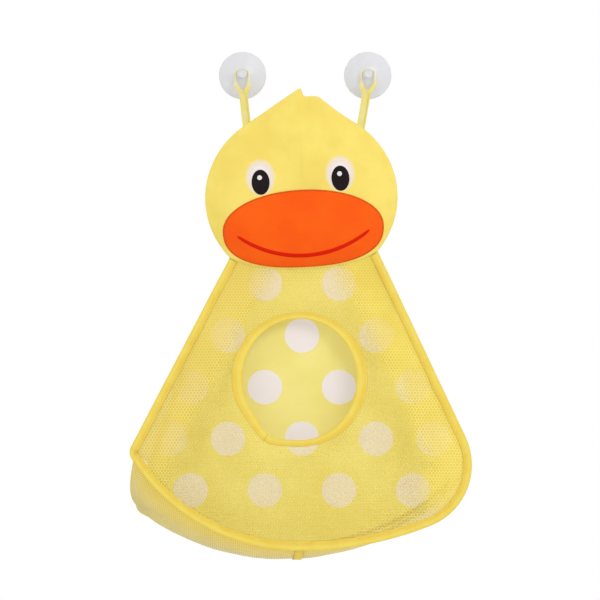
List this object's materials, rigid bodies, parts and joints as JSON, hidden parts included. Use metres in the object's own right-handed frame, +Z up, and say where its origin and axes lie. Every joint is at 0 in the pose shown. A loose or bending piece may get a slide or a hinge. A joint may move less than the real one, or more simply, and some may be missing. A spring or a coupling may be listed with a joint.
{
  "type": "bath toy organizer",
  "caption": "Duck-shaped mesh bag for bath toys with a padded head, a round opening in its net front and hanging loops on suction cups for the wall.",
  "frame": {"origin": "on the wall, midway between the axes of the two suction cups", "axes": "+Y into the wall, +Z up, +X to the right as seen from the room; the bag's front faces -Y"},
  "size_m": [0.3213, 0.0564, 0.4813],
  "materials": {
    "clear_vinyl": "clear soft moulded vinyl",
    "yellow_tape": "woven binding tape",
    "yellow_fabric": "plain woven polyester",
    "dotted_fabric": "yellow woven polyester printed with white dots",
    "yellow_net": "fine knitted net",
    "pale_net": "fine knitted net",
    "orange_fabric": "plain woven polyester",
    "red_trim": "satin stitching",
    "white_fabric": "plain woven polyester",
    "black_fabric": "satin stitching",
    "wadding": "soft polyester wadding"
  },
  "bodies": {
    "wall_cups": {"left_suction_cup": "clear_vinyl", "right_suction_cup": "clear_vinyl"},
    "bag": {"left_hanging_loop": "yellow_tape", "right_hanging_loop": "yellow_tape", "head_front_panel": "yellow_fabric", "head_padding": "wadding", "head_back_panel": "yellow_fabric", "beak_patch": "orange_fabric", "smile_trim": "red_trim", "left_eye_white": "white_fabric", "right_eye_white": "white_fabric", "left_pupil": "black_fabric", "right_pupil": "black_fabric", "left_eye_glint": "white_fabric", "right_eye_glint": "white_fabric", "back_panel": "dotted_fabric", "back_edge_binding": "yellow_tape", "left_gusset": "pale_net", "right_gusset": "pale_net", "gusset_center_tape": "yellow_tape"},
    "front_panel": {"front_mesh_panel": "yellow_net", "opening_binding": "yellow_tape", "front_edge_binding": "yellow_tape"}
  },
  "joints": [
    {"name": "bag_swing", "type": "hinge", "parent": "wall_cups", "child": "bag", "pos_m": [-0.0049, -0.01475, 0.00446], "axis": [-1, 0, 0], "range_deg": [0, 90]},
    {"name": "front_panel_fold", "type": "hinge", "parent": "bag", "child": "front_panel", "pos_m": [-0.0049, -0.01072, -0.1677], "axis": [-1, 0, 0], "range_deg": [-8, 9], "deforming": ["left_gusset", "right_gusset", "gusset_center_tape"]}
  ]
}
